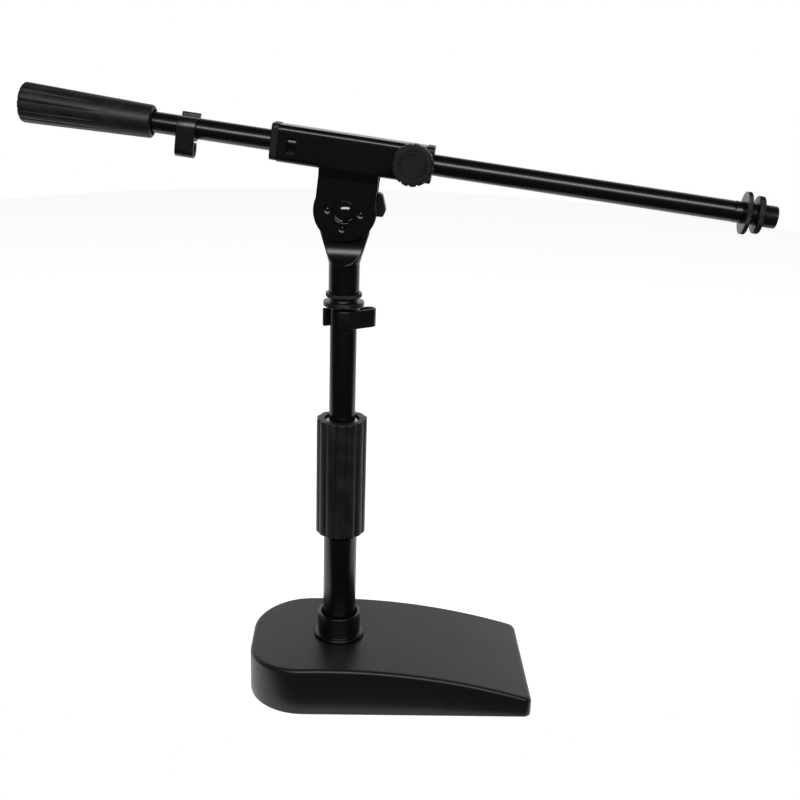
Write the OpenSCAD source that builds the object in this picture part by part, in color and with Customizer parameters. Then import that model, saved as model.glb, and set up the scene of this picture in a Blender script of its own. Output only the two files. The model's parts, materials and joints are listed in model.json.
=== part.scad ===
// Boom microphone stand with a low weighted base.
// Millimetres, +Z up. The origin is on the mast axis, at the underside of the base pad.
// The boom head is turned about the mast, and the boom is tilted about the head pivot;
// both angles are parameters, and every boom piece is drawn in the boom's own frame:
// +X along the boom, +Y to the lever side, +Z up, with the pivot axis at its origin.

/* [Base] */
// Length of the casting along X
base_len = 222; // [214:1:240]
// Width of the casting along Y
base_wid = 119; // [112:1:130]
// Distance from the mast axis to the rounded end
base_back = 70; // [66:1:80]
// Height of the casting at the crest of its top
base_crest = 38.8; // [37.8:0.2:41]
// Radius of the arched top
crown_r = 540; // [520:10:640]
// Plan radius of the rounded end's corners
back_corner_r = 44; // [36:1:48]
// Plan radius of the straight end's corners
front_corner_r = 6; // [3:1:10]

/* [Mast] */
// Outer diameter of the fixed lower tube
lower_od = 26; // [25.6:0.1:26.2]
// Outer diameter of the sliding upper tube
upper_od = 20; // [19.6:0.1:20.2]
// Outer diameter across the lobes of the twist grip
clutch_od = 38.8; // [38:0.2:42]
// Number of lobes round the twist grip
clutch_lobes = 14; // [12:1:16]
// Height of the twist grip's top face
clutch_top = 225.2; // [224.8:0.1:226]
// Height of the head pivot axis
pivot_z = 383; // [382.4:0.1:385]

/* [Head] */
// Turn of the head about the mast, towards the front
head_turn = 6; // [0:1:12]
// Tilt of the boom, far end down
boom_tilt = 6.4; // [0:0.2:10]
// Height of the boom axis above the pivot axis
boom_rise = 41.6; // [40.4:0.2:42.4]
// Radius of the cheek plates about the pivot
cheek_r = 21.5; // [21:0.25:22]
// Length of the formed sleeve
sleeve_len = 105; // [102:1:110]
// Diameter of the boom lock knob
knob_od = 29.2; // [28:0.2:31]

/* [Boom] */
// Outer diameter of the boom tube
boom_od = 15; // [14.8:0.05:15.1]
// Reach of the thread's end from the pivot, along the boom
boom_reach = 301; // [280:1:340]
// Length of the boom behind the pivot, to the grip's end
boom_back = 238.6; // [225:1:280]
// Length of the rear grip
grip_len = 95; // [90:1:100]
// Diameter of the rear grip at its outer end
grip_od = 28.6; // [27.5:0.1:30]
// Number of flutes in the rear grip
grip_flutes = 12; // [10:1:14]

/* [Hidden] */
$fn = 96;
fine = 48;
eps = 0.01;
run = 0.06;               // radial running clearance
thread_r = 7.94;          // 5/8-27 stud, major radius
stud_neck_r = thread_r - 0.3;
root_r = 5;               // the stud's shank inside the boom's end

pad_t = 3;                // rubber pad, half of it sunk in the casting
pad_proud = 1.5;
pad_inset = 5;
cast_top = pad_proud + base_crest;
crown_x = -8;
spot_z = cast_top - 0.9;
socket_r = 17;
socket_top = 60.2;
socket_floor = 3.6;
lower_z0 = spot_z + socket_floor;
lower_z1 = 216;
lower_r = lower_od / 2;
lower_ir = lower_r - 1.5;
upper_r = upper_od / 2;
upper_ir = upper_r - 1.5;
bolt_r = 5;
washer_z = 11;
plug_h = 15;

clutch_z0 = clutch_top - 93.7;
clutch_r = clutch_od / 2;
core_r = clutch_r - 2.2;
ferrule_r = lower_r + 2;
collar_z = 150;
glide_z = 128;
glide_h = 10;
bush_h = 20;

flange_z = 313.2;         // top of the upper tube, underside of the mast flange
flange_t = 3.4;
flange_r = 15.2;
nut_z = 320.1;
nut_t = 3.1;
nut_r = 13.5;
stem_z = 323.4;
stem_r = 11.35;
stem_ir = 9.15;
dish_z = 345.2;           // where the flattening starts
flat_z = 360;             // where the tongue reaches its full flatness
tongue_t = 6;
tongue_r = 18.2;
disc_r = 22.8;
disc_t = 1.6;
stud_top = 341;

sheet_t = 1.8;
cheek_in = tongue_t / 2 + disc_t + 0.1;
cheek_out = cheek_in + sheet_t;
sleeve_y = 9.6;
sleeve_lo = boom_rise - 13.6;
sleeve_hi = boom_rise + 12.6;
sleeve_corner = 4;
joggle_lo = boom_rise - 18.8;
cap_t = 5.3;
pivot_r = 4;
knob_x = 44.6;
knob_r = knob_od / 2;
knob_y = 13.2;
knob_t = 11;
screw_r = 3;
screw_cover = 3.2;        // knob front face to the screw's end
shoe_y = 9.2;
dish_depth = 1.8;
dish_face_r = 8.2;
window_x = -42.6;
window_w = 6.4;
window_z0 = boom_rise - 6.2;
window_h = 10.3;

boom_r = boom_od / 2;
boom_ir = boom_r - 1.2;
seam_x = boom_reach - 30.3;
ferrule_len = 7;
tip_flange_x = seam_x + ferrule_len;
tip_flange_t = 3.2;
tip_flange_r = 14.95;
tip_nut_x = tip_flange_x + 8.2;
tip_nut_t = 4.5;
tip_nut_r = 13.3;
boom_clip_x = -118.4;
clip_w = 13.6;
clip_t = 1.7;
hook_gap = 6.8;
hook_lip = 5.4;

/* [Output] */
// Sub-part to draw

// ---------- frames and shared shapes ----------

module head_frame() rotate([0, 0, -head_turn]) children();

module boom_frame() translate([0, 0, pivot_z]) head_frame() rotate([0, boom_tilt, 0]) children();

// a solid or hollow round bar along Z
module ring(z0, z1, ro, ri = 0)
    translate([0, 0, z0]) difference() {
        cylinder(h = z1 - z0, r = ro);
        if (ri > 0) translate([0, 0, -1]) cylinder(h = z1 - z0 + 2, r = ri);
    }

// the same along the boom's X, at the height of the boom axis
module boom_ring(x0, x1, ro, ri = 0)
    translate([0, 0, boom_rise]) rotate([0, 90, 0]) ring(x0, x1, ro, ri);

// the same along the pivot's Y, centred on x, z
module cross_ring(y0, y1, ro, ri = 0, x = 0, z = 0)
    translate([x, 0, z]) rotate([-90, 0, 0]) ring(y0, y1, ro, ri);

module block(x0, x1, y0, y1, z0, z1)
    translate([x0, y0, z0]) cube([x1 - x0, y1 - y0, z1 - z0]);

// rectangle with rounded corners, from arcs and squares
module round_rect(x0, x1, y0, y1, r) {
    translate([x0 + r, y0]) square([x1 - x0 - 2 * r, y1 - y0]);
    translate([x0, y0 + r]) square([x1 - x0, y1 - y0 - 2 * r]);
    for (x = [x0 + r, x1 - r], y = [y0 + r, y1 - r]) translate([x, y]) circle(r, $fn = fine);
}

// a disc or nut with both rims bevelled, along Z
module bevelled(z0, z1, ro, ri, bevel)
    difference() {
        union() {
            ring(z0 + bevel, z1 - bevel, ro);
            translate([0, 0, z0]) cylinder(h = bevel, r1 = ro - bevel, r2 = ro);
            translate([0, 0, z1 - bevel]) cylinder(h = bevel, r1 = ro, r2 = ro - bevel);
        }
        translate([0, 0, z0 - 1]) cylinder(h = z1 - z0 + 2, r = ri);
    }

// straight knurl grooves round a rim of radius r, along Z
module knurl(count, r)
    for (i = [0 : count - 1]) rotate(i * 360 / count) translate([r + 0.15, 0, 0])
        cylinder(h = 400, r = 0.4, $fn = 16);

// ---------- base ----------

module base_plan(inset = 0) {
    x0 = -base_back + inset;
    x1 = base_len - base_back - inset;
    y1 = base_wid / 2 - inset;
    rb = back_corner_r - inset;
    rf = max(front_corner_r - inset, 1);
    translate([x0 + rb, -y1]) square([x1 - x0 - rb - rf, 2 * y1]);
    translate([x0, -y1 + rb]) square([x1 - x0, 2 * (y1 - rb)]);
    translate([x1 - rf - 1, -y1 + rf]) square([rf + 1, 2 * (y1 - rf)]);
    for (s = [-1, 1]) {
        translate([x0 + rb, s * (y1 - rb)]) circle(rb);
        translate([x1 - rf, s * (y1 - rf)]) circle(rf, $fn = fine);
    }
}

module base_casting() color("#1b1b1c") {
    pocket_top = 17;
    pocket_r = 6;
    seat_r = 20.2;
    bore_r = 11.5;
    difference() {
        intersection() {
            translate([0, 0, pad_proud]) linear_extrude(base_crest) base_plan();
            translate([crown_x, 0, cast_top - crown_r]) rotate([90, 0, 0])
                cylinder(h = base_wid + 10, r = crown_r, center = true, $fn = 720);
        }
        // recess for the pad, and two pockets that save iron each side of the mast boss
        translate([0, 0, pad_proud - 1]) linear_extrude(pad_t - pad_proud + 1) base_plan(pad_inset);
        linear_extrude(pocket_top) round_rect(14 - base_back, -26, -30, 30, pocket_r);
        linear_extrude(pocket_top) round_rect(26, 106, 13.5 - base_wid / 2, base_wid / 2 - 13.5, pocket_r);
        // mast seat, through hole and bolt counterbore
        ring(spot_z, cast_top + 2, seat_r);
        ring(0, cast_top, bolt_r + 0.3);
        ring(0, washer_z + 2, bore_r);
    }
}

module base_pad() color("#101010")
    linear_extrude(pad_t) base_plan(pad_inset + 0.3);

module mast_bolt() color("#5c5c5e") {
    head_r = 8.5;
    head_h = 6.5;
    ring(washer_z - head_h, washer_z, head_r);
    ring(washer_z, lower_z0 + plug_h - 3, bolt_r);
}

module bolt_washer() color("#707072") ring(washer_z, washer_z + 2, 10.5, bolt_r + 0.2);

module mast_socket() color("#151516") {
    relief_z = 54;
    rim = 0.8;
    grub = [1.6, 51, 25]; // radius, height, and turn about the mast
    difference() {
        union() {
            bevelled(spot_z, spot_z + 3.2, 19.7, 2, 0.6);
            ring(spot_z, socket_top - rim, socket_r);
            translate([0, 0, socket_top - rim]) cylinder(h = rim, r1 = socket_r, r2 = socket_r - 0.6);
        }
        ring(lower_z0, socket_top + 1, lower_r + 0.05);
        ring(relief_z, socket_top + 1, lower_r + 1.35);
        ring(0, socket_top, bolt_r + 0.2);
        // grub screw hole in the wall
        translate([0, 0, grub[1]]) rotate([90, 0, grub[2]]) cylinder(h = 40, r = grub[0], $fn = fine);
    }
}

// ---------- fixed lower mast ----------

module lower_tube() color("#161617") ring(lower_z0, lower_z1, lower_r, lower_ir);

module tube_plug() color("#6a6a6c") ring(lower_z0, lower_z0 + plug_h, lower_ir, bolt_r + 0.02);

module guide_bush() color("#e4e2da")
    difference() {
        union() {
            ring(lower_z1 - bush_h, lower_z1, lower_ir);
            ring(lower_z1, lower_z1 + 2, lower_r);
        }
        ring(0, 400, upper_r + run);
    }

module clutch_collar() color("#202021") ring(collar_z, lower_z1 - 2, ferrule_r, lower_r);

module clutch_collet() color("#d2d0c8")
    difference() {
        translate([0, 0, lower_z1 + 2])
            cylinder(h = 5, r1 = ferrule_r - 1, r2 = upper_r + 2.1);
        ring(0, 400, upper_r + run);
        block(0, 40, -1, 1, 0, 400);
    }

// ---------- twist clutch ----------

module clutch_core() color("#1d1d1e")
    difference() {
        ring(clutch_z0, clutch_top - 2, core_r);
        ring(0, 400, lower_r + run);
        ring(collar_z - 0.5, clutch_top - 4, ferrule_r + run);
    }

module clutch_grip() color("#171718") {
    lobe_r = 6.5;
    difference() {
        translate([0, 0, clutch_z0]) linear_extrude(clutch_top - clutch_z0) {
            circle(clutch_r - 1.6);
            for (i = [0 : clutch_lobes - 1]) rotate((i + 0.5) * 360 / clutch_lobes)
                translate([clutch_r - lobe_r, 0]) circle(lobe_r, $fn = fine);
        }
        ring(clutch_z0 - 1, clutch_top - 2, core_r);
        ring(0, 400, lower_r + 0.3);
    }
}

// ---------- sliding upper mast ----------

module upper_tube() color("#161617") ring(glide_z + glide_h, flange_z, upper_r, upper_ir);

module tube_glide() color("#dcdad2") {
    ring(glide_z, glide_z + glide_h, lower_ir - run, 4);
    ring(glide_z + glide_h, glide_z + glide_h + 12, upper_ir, 4);
}

module mast_flange() color("#1c1c1e")
    difference() {
        union() {
            bevelled(flange_z, flange_z + flange_t, flange_r, 2, 0.9);
            ring(flange_z, nut_z - 0.2, 10.5);
            ring(flange_z - 15, flange_z, upper_ir);
        }
        ring(0, 400, thread_r);
    }

module mast_stud() color("#3a3a3c") ring(flange_z - 14, stud_top, thread_r);

module head_nut() color("#222224")
    difference() {
        bevelled(nut_z, nut_z + nut_t, nut_r, thread_r + run, 0.7);
        knurl(36, nut_r);
    }

// profile of a snap-on cable clip round a tube of radius r: +X behind the tube, +Y away from the hook
module clip_profile(r) {
    ri = r + run;
    ro = r + run + clip_t;
    leg = -(r + 8.1);
    bend = hook_gap / 2;
    mouth_a = 50;         // the C is open from here to its mirror image
    tab_rise = 2.45;
    tab_lip = [2.5, 1.5];
    // the C, open between the lip and the finger tab
    difference() {
        circle(ro);
        circle(ri);
        polygon([[0, 0], [cos(mouth_a), sin(mouth_a)] * 3 * r, [0, 4 * r],
                 [-cos(mouth_a), sin(mouth_a)] * 3 * r]);
    }
    // front panel, hook bend and return leg
    px = -ro + 0.05;
    translate([px, leg]) square([clip_t, -leg]);
    translate([px + clip_t + bend, leg]) difference() {
        circle(bend + clip_t, $fn = fine);
        circle(bend, $fn = fine);
        translate([-20, 0]) square([40, 20]);
    }
    translate([px + clip_t + hook_gap, leg]) square([clip_t, hook_lip]);
    // finger tab, standing behind the open side
    tab_x = cos(mouth_a) * ri + 0.3;
    tab_y = sqrt(ri * ri - tab_x * tab_x) + 0.05;
    translate([tab_x, tab_y]) square([clip_t, r + tab_rise - tab_y]);
    translate([tab_x, r + tab_rise - tab_lip[1]]) square(tab_lip);
}

module mast_clip() color("#1a1a1b") {
    top = 310.6;
    hook_turn = 32;
    translate([0, 0, top - clip_w]) rotate(90 + hook_turn) linear_extrude(clip_w)
        clip_profile(upper_r);
}

// ---------- boom head ----------

module head_stem() color("#161617") head_frame() {
    dish_r = 17.5;
    difference() {
        union() {
            ring(stem_z, dish_z, stem_r);
            // tube opening out into the tongue
            hull() {
                translate([0, 0, dish_z - 0.5]) cylinder(h = 0.5, r = stem_r, $fn = 64);
                translate([0, 0, 367.5]) scale([1, 0.5, 1]) cylinder(h = 0.5, r = tongue_r, $fn = 64);
            }
            block(-tongue_r, tongue_r, -tongue_t / 2, tongue_t / 2, 367, pivot_z);
            translate([0, 0, pivot_z]) cross_ring(-tongue_t / 2, tongue_t / 2, tongue_r);
        }
        // the two pressed dishes
        for (s = [-1, 1]) {
            translate([0, s * (tongue_t / 2 + dish_r), flat_z]) rotate([0, 90, 0])
                cylinder(h = 60, r = dish_r, center = true);
            translate([-30, s > 0 ? tongue_t / 2 : -tongue_t / 2 - 20, flat_z]) cube([60, 20, 60]);
        }
        ring(stem_z - 1, stud_top + 1.5, stem_ir);
        translate([0, 0, pivot_z]) cross_ring(-20, 20, pivot_r + run);
    }
}

module stem_insert() color("#767678") head_frame() ring(stem_z, stud_top - 1, stem_ir, thread_r + run);

module friction_discs() color("#202022") head_frame() translate([0, 0, pivot_z])
    for (s = [-1, 1]) scale([1, s, 1])
        cross_ring(tongue_t / 2, tongue_t / 2 + disc_t, disc_r, pivot_r + run);

// ---------- clamp on the pivot ----------

// cross-section of the sleeve, X = across, Y = up
module sleeve_section(out = sleeve_y, lo = sleeve_lo, hi = sleeve_hi, r = sleeve_corner)
    round_rect(-out, out, lo, hi, r);

module clamp_bracket() color("#151516") boom_frame() {
    half = sleeve_len / 2;
    dimple_r = 2.7;
    dimple_at = 12;
    difference() {
        union() {
            // sleeve, open along its underside
            rotate([90, 0, 90]) translate([0, 0, -half]) linear_extrude(sleeve_len) difference() {
                sleeve_section();
                sleeve_section(sleeve_y - sheet_t, sleeve_lo + sheet_t, sleeve_hi - sheet_t,
                               sleeve_corner - sheet_t);
                translate([-cheek_in, sleeve_lo - 1]) square([2 * cheek_in, 6]);
            }
            // joggled walls and cheeks
            intersection() {
                rotate([90, 0, 90]) translate([0, 0, -cheek_r]) linear_extrude(2 * cheek_r)
                    for (s = [-1, 1]) scale([s, 1]) polygon([
                        [sleeve_y - sheet_t, boom_rise - 6], [sleeve_y, boom_rise - 6],
                        [sleeve_y, sleeve_lo + 1.4], [cheek_out, joggle_lo],
                        [cheek_out, -cheek_r - 1], [cheek_in, -cheek_r - 1],
                        [cheek_in, joggle_lo + 0.5], [sleeve_y - sheet_t, sleeve_lo + 1.9]
                    ]);
                union() {
                    block(-cheek_r, cheek_r, -20, 20, 0, boom_rise);
                    cross_ring(-20, 20, cheek_r);
                }
            }
        }
        // the lips are cut away over the cheeks
        block(-cheek_r + eps, cheek_r - eps, -cheek_in, cheek_in, -30, sleeve_lo + 4);
        // windows for the cap lugs: both sides at the left, the lever side at the right
        block(window_x - window_w / 2, window_x + window_w / 2, -20, 20, window_z0, window_z0 + window_h);
        block(-window_x - window_w / 2, -window_x + window_w / 2, 0, 20, window_z0, window_z0 + window_h);
        cross_ring(-20, 0, screw_r + run, x = knob_x, z = boom_rise);
        cross_ring(-20, 20, pivot_r + 0.05);
        // three pressed dimples round the bolt head
        for (a = [0, 180, 270])
            cross_ring(-cheek_out - 1, -cheek_out + 0.6, dimple_r,
                       x = dimple_at * cos(a), z = dimple_at * sin(a));
    }
}

module end_cap(right) {
    half = sleeve_len / 2;
    in_y = sleeve_y - sheet_t - 0.1;
    lug_w = 5.4;
    lug_h = 1.8;
    spigot_l = half + window_x + 3;
    difference() {
        union() {
            rotate([90, 0, 90]) translate([0, 0, half]) linear_extrude(cap_t)
                sleeve_section(sleeve_y - 0.2, sleeve_lo + 0.7, sleeve_hi + 0.4, 3.4);
            // spigot, as an upper and a lower block, with a lug for each window
            for (z = [[sleeve_lo + sheet_t + 0.1, boom_rise - 5.6],
                      [boom_rise + 5.6, sleeve_hi - sheet_t - 0.1]])
                block(half - spigot_l, half + eps, -in_y + 2, in_y - 2, z[0], z[1]);
            block(-window_x - lug_w / 2, -window_x + lug_w / 2, right ? 0 : -sleeve_y + 0.6,
                  sleeve_y - 0.6, window_z0 + 0.1, window_z0 + lug_h);
        }
        boom_ring(0, 200, boom_r + run);
    }
}

module cap_left() color("#2a2a2b") boom_frame() rotate([0, 0, 180]) end_cap(false);

module cap_right() color("#2a2a2b") boom_frame() end_cap(true);

module pivot_bolt() color("#0f0f10") boom_frame() {
    head_r = 8.45;
    head_h = 4.5;
    dome = (head_r * head_r + head_h * head_h) / (2 * head_h);
    intersection() {
        translate([0, -cheek_out - head_h + dome, 0]) rotate([90, 0, 0]) sphere(dome);
        cross_ring(-cheek_out - head_h, -cheek_out, head_r);
    }
    cross_ring(-cheek_out - eps, 19.5, pivot_r);
}

module lever_washer() color("#707072") boom_frame()
    cross_ring(cheek_out, cheek_out + 1.5, 8, pivot_r + 0.05);

module knob_boss() color("#19191a") boom_frame()
    cross_ring(-sleeve_y - 3, -sleeve_y, 6.2, screw_r + run, knob_x, boom_rise);

module clamp_shoe() color("#b08d46") boom_frame()
    cross_ring(-shoe_y, -boom_r - 0.2, screw_r, 0, knob_x, boom_rise);

module tilt_lever() color("#1f1f20") boom_frame() {
    y0 = cheek_out + 1.7;
    reach = 28;
    difference() {
        union() {
            cross_ring(y0, y0 + 10.5, 9.5);
            translate([0, y0 + 10.5, 0]) rotate([90, 0, 0]) linear_extrude(9) {
                intersection() {
                    circle(reach);
                    polygon([[6, -4.2], [40, -1.4], [40, 22], [2, 9.5]]);
                }
                translate([20.6, 11.3]) circle(3.6, $fn = fine);
            }
        }
        cross_ring(0, 40, 6.2);
        // shallow hollow below the paddle's root
        cross_ring(0, 40, 7, x = 19.5, z = -8.4);
    }
}

module lever_insert() color("#6a6a6c") boom_frame()
    cross_ring(cheek_out + 1.7, cheek_out + 11.5, 6.2, pivot_r + run);

// ---------- boom lock knob ----------

module lock_knob() color("#232324") boom_frame() translate([knob_x, -knob_y, boom_rise]) rotate([90, 0, 0]) {
    teeth = 15;
    difference() {
        union() {
            linear_extrude(knob_t - 0.8) difference() {
                circle(knob_r);
                for (i = [0 : teeth - 1]) rotate(i * 360 / teeth)
                    polygon([[knob_r + 1, -0.9], [knob_r - 1.1, 0.9], [knob_r + 1, 1.3]]);
            }
            translate([0, 0, knob_t - 0.8]) cylinder(h = 0.8, r1 = knob_r - 1.4, r2 = knob_r - 2.2);
        }
        translate([0, 0, knob_t - dish_depth]) cylinder(h = 5, r = dish_face_r);
        translate([0, 0, -1]) cylinder(h = knob_t - screw_cover + 1, r = screw_r);
    }
}

module knob_badge() color("#1a1a1b") boom_frame()
    translate([knob_x, -knob_y - knob_t + dish_depth, boom_rise]) rotate([90, 0, 0]) {
        disc_r = dish_face_r - 0.1;
        ribs = 8;
        rib = [2.8, 1.2];
        linear_extrude(0.6) circle(disc_r);
        linear_extrude(1.3) {
            difference() { circle(disc_r); circle(disc_r - 0.8); }
            circle(2.6);
            for (i = [0 : ribs - 1]) rotate(i * 360 / ribs) translate([3.6, -rib[1] / 2]) square(rib);
        }
    }

module knob_screw() color("#77777a") boom_frame()
    cross_ring(-knob_y - knob_t + screw_cover, -shoe_y - 0.1, screw_r, 0, knob_x, boom_rise);

// ---------- boom ----------

module boom_tube() color("#161617") boom_frame()
    boom_ring(-boom_back + 6, seam_x, boom_r, boom_ir);

module boom_weight() color("#6c6c6e") boom_frame()
    boom_ring(-boom_back + 8, -boom_back + grip_len - 6, boom_ir);

module boom_grip() color("#1a1a1b") boom_frame() {
    x0 = -boom_back;
    x1 = x0 + grip_len;
    r0 = grip_od / 2;
    r1 = r0 - 2.65;
    edge = 1.6;
    difference() {
        translate([0, 0, boom_rise]) rotate([0, 90, 0]) {
            translate([0, 0, x0 + edge]) cylinder(h = grip_len - 2 * edge, r1 = r0, r2 = r1);
            translate([0, 0, x0]) cylinder(h = edge, r1 = r0 - edge, r2 = r0);
            translate([0, 0, x1 - edge]) cylinder(h = edge, r1 = r1, r2 = r1 - edge);
        }
        boom_ring(x0 + 6, x1 + 1, boom_r);
        boom_ring(x1 - 2.5, x1 + 1, boom_r + 1.5);
        // flutes that run out about two thirds of the way along
        for (i = [0 : grip_flutes - 1])
            translate([x0 - 2, 0, boom_rise]) rotate([i * 360 / grip_flutes, 0, 0])
                translate([0, 0, r0 + 0.25]) rotate([0, 89.3, 0]) cylinder(h = 75, r = 1.3, $fn = 24);
    }
}

module boom_ferrule() color("#1a1a1b") boom_frame() {
    boom_ring(seam_x, tip_flange_x, boom_r + 0.2, root_r);
    boom_ring(seam_x - 20, seam_x, boom_ir, root_r);
}

module tip_flange() color("#2a2a2c") boom_frame() translate([0, 0, boom_rise]) rotate([0, 90, 0])
    difference() {
        bevelled(tip_flange_x, tip_flange_x + tip_flange_t, tip_flange_r, stud_neck_r, 0.4);
        knurl(48, tip_flange_r);
    }

// slightly slimmer under the nut, with the full thread beyond it
module tip_stud() color("#333335") boom_frame() {
    boom_ring(tip_flange_x, tip_nut_x + tip_nut_t + 0.2, stud_neck_r);
    boom_ring(tip_nut_x + tip_nut_t + 0.2, boom_reach, thread_r);
    boom_ring(seam_x - 15, tip_flange_x, root_r);
}

module tip_nut() color("#2a2a2c") boom_frame() translate([0, 0, boom_rise]) rotate([0, 90, 0])
    difference() {
        bevelled(tip_nut_x, tip_nut_x + tip_nut_t, tip_nut_r, stud_neck_r + run, 0.8);
        knurl(44, tip_nut_r);
    }

module boom_clip() color("#1a1a1b") boom_frame()
    translate([boom_clip_x - clip_w / 2, 0, boom_rise]) rotate([90, 0, 90])
        linear_extrude(clip_w) clip_profile(boom_r);

// ---------- output ----------

base_casting();
base_pad();
mast_bolt();
bolt_washer();
mast_socket();
lower_tube();
tube_plug();
guide_bush();
clutch_collar();
clutch_collet();
clutch_core();
clutch_grip();
upper_tube();
tube_glide();
mast_flange();
mast_stud();
mast_clip();
head_nut();
head_stem();
stem_insert();
friction_discs();
clamp_bracket();
cap_left();
cap_right();
pivot_bolt();
lever_washer();
knob_boss();
clamp_shoe();
tilt_lever();
lever_insert();
lock_knob();
knob_badge();
knob_screw();
boom_tube();
boom_weight();
boom_grip();
boom_ferrule();
tip_flange();
tip_stud();
tip_nut();
boom_clip();
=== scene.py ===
import json
import math

import bmesh
import bpy
import numpy as np
from mathutils import Matrix


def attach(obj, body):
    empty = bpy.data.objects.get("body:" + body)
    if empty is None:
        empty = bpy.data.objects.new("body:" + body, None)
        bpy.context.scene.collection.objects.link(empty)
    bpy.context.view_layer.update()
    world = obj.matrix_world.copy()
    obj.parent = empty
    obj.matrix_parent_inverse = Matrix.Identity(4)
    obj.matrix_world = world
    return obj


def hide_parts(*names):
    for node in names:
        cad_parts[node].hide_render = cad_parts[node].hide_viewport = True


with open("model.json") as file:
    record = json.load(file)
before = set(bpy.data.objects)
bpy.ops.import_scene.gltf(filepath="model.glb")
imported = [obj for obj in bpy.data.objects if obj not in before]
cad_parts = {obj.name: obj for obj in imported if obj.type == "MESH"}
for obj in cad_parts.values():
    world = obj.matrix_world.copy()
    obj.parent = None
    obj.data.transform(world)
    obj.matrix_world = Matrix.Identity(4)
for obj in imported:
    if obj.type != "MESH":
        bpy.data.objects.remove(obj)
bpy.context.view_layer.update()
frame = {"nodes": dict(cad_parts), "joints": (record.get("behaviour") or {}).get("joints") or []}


# ---- base casting -------------------------------------------------------------------------------
# The foot is one grey-iron casting, arched along its length, with a machined spot face for the
# mast. It is blasted and powder coated in fine-textured black; the pattern rounds its rim.

MM = 0.001
base_length, base_width = 222.0, 119.0
base_left = -70.0
back_radius, front_radius = 44.0, 6.0
crown_radius, crown_x, crest_z = 540.0, -8.0, 40.3
rim_radius = 3.0
skirt_z, recess_z, recess_in = 1.5, 3.0, 5.0
spot_z, spot_radius = 39.4, 20.2
bolt_hole, counterbore, counterbore_z = 5.3, 11.5, 13.0


def fillet(corners, radii, steps=7, closed=True):
    """Outline with rounded corners. Each corner gives way to the arc that touches both its sides:
    the rational quadratic curve between the two touching points, with the corner as its middle
    control point and the sine of half the corner's angle as that point's weight."""
    p = np.asarray(corners, float)
    r = np.broadcast_to(np.asarray(radii, float), len(p))[:, None]
    before, after = np.roll(p, 1, 0) - p, np.roll(p, -1, 0) - p
    before /= np.linalg.norm(before, axis=1, keepdims=True)
    after /= np.linalg.norm(after, axis=1, keepdims=True)
    half = np.arccos(np.clip((before * after).sum(1), -1, 1))[:, None] / 2
    a, b = p + before * r / np.tan(half), p + after * r / np.tan(half)
    s = np.linspace(0, 1, steps)[None, :, None]
    w = 2 * s * (1 - s) * np.sin(half)[:, None, :]
    arc = (1 - s) ** 2 * a[:, None] + w * p[:, None] + s**2 * b[:, None]
    arc = arc / ((1 - s) ** 2 + w + s**2)
    if closed:
        return arc.reshape(-1, 2)
    return np.vstack([p[:1], arc[1:-1].reshape(-1, 2), p[-1:]])


def even(loop, count):
    """The same closed outline, with its points spaced evenly along it."""
    ring = np.vstack([loop, loop[:1]])
    along = np.r_[0, np.cumsum(np.linalg.norm(np.diff(ring, axis=0), axis=1))]
    at = np.linspace(0, along[-1], count, endpoint=False)
    return np.stack([np.interp(at, along, ring[:, k]) for k in (0, 1)], axis=1)


def inset(loop, by):
    """The outline moved inwards: each point goes along the left-hand normal of its neighbours."""
    run = np.roll(loop, -1, 0) - np.roll(loop, 1, 0)
    run /= np.linalg.norm(run, axis=1, keepdims=True)
    return loop + np.stack([-run[:, 1], run[:, 0]], axis=1) * by


def raised(loop, height):
    """A plane outline lifted to a height, which is one number or one number a point."""
    return np.column_stack([loop, np.broadcast_to(height, len(loop))])


def skin(grid, round_u=True, round_v=True):
    """Quads over a grid of points, closed back to the first row or column where it goes round."""
    grid = np.asarray(grid, float)
    n, m = grid.shape[:2]
    i = np.arange(n if round_u else n - 1)[:, None]
    j = np.arange(m if round_v else m - 1)[None, :]
    up, right = (i + 1) % n, (j + 1) % m
    quads = np.stack([i * m + j, i * m + right, up * m + right, up * m + j], axis=-1)
    return grid.reshape(-1, 3), quads.reshape(-1, 4)


def piece(name, *skins, crease=35):
    """One object from skins in millimetres: doubles merged, faces outwards, edges kept crisp."""
    start = np.cumsum([0] + [len(points) for points, _ in skins])
    points = np.vstack([points for points, _ in skins]) * MM
    quads = np.vstack([quads + first for (_, quads), first in zip(skins, start)])
    mesh = bpy.data.meshes.new(name)
    mesh.from_pydata(points.tolist(), [], quads.tolist())
    bm = bmesh.new()
    bm.from_mesh(mesh)
    bmesh.ops.remove_doubles(bm, verts=bm.verts, dist=2e-6)
    bmesh.ops.recalc_face_normals(bm, faces=bm.faces)
    bm.to_mesh(mesh)
    bm.free()
    mesh.shade_smooth()
    mesh.set_sharp_from_angle(angle=math.radians(crease))
    made = bpy.data.objects.new(name, mesh)
    bpy.context.scene.collection.objects.link(made)
    return made


class Value:
    """A number, vector or colour at a node's output. Arithmetic on it adds Math nodes."""

    def __init__(self, finish, socket):
        self.finish, self.socket = finish, socket

    def maths(self, operation, a, b):
        return self.finish.node("ShaderNodeMath", {0: a, 1: b}, operation=operation)

    def __add__(self, other):
        return self.maths("ADD", self, other)

    def __sub__(self, other):
        return self.maths("SUBTRACT", self, other)

    def __rsub__(self, other):
        return self.maths("SUBTRACT", other, self)

    def __mul__(self, other):
        return self.maths("MULTIPLY", self, other)

    __radd__, __rmul__ = __add__, __mul__


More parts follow.
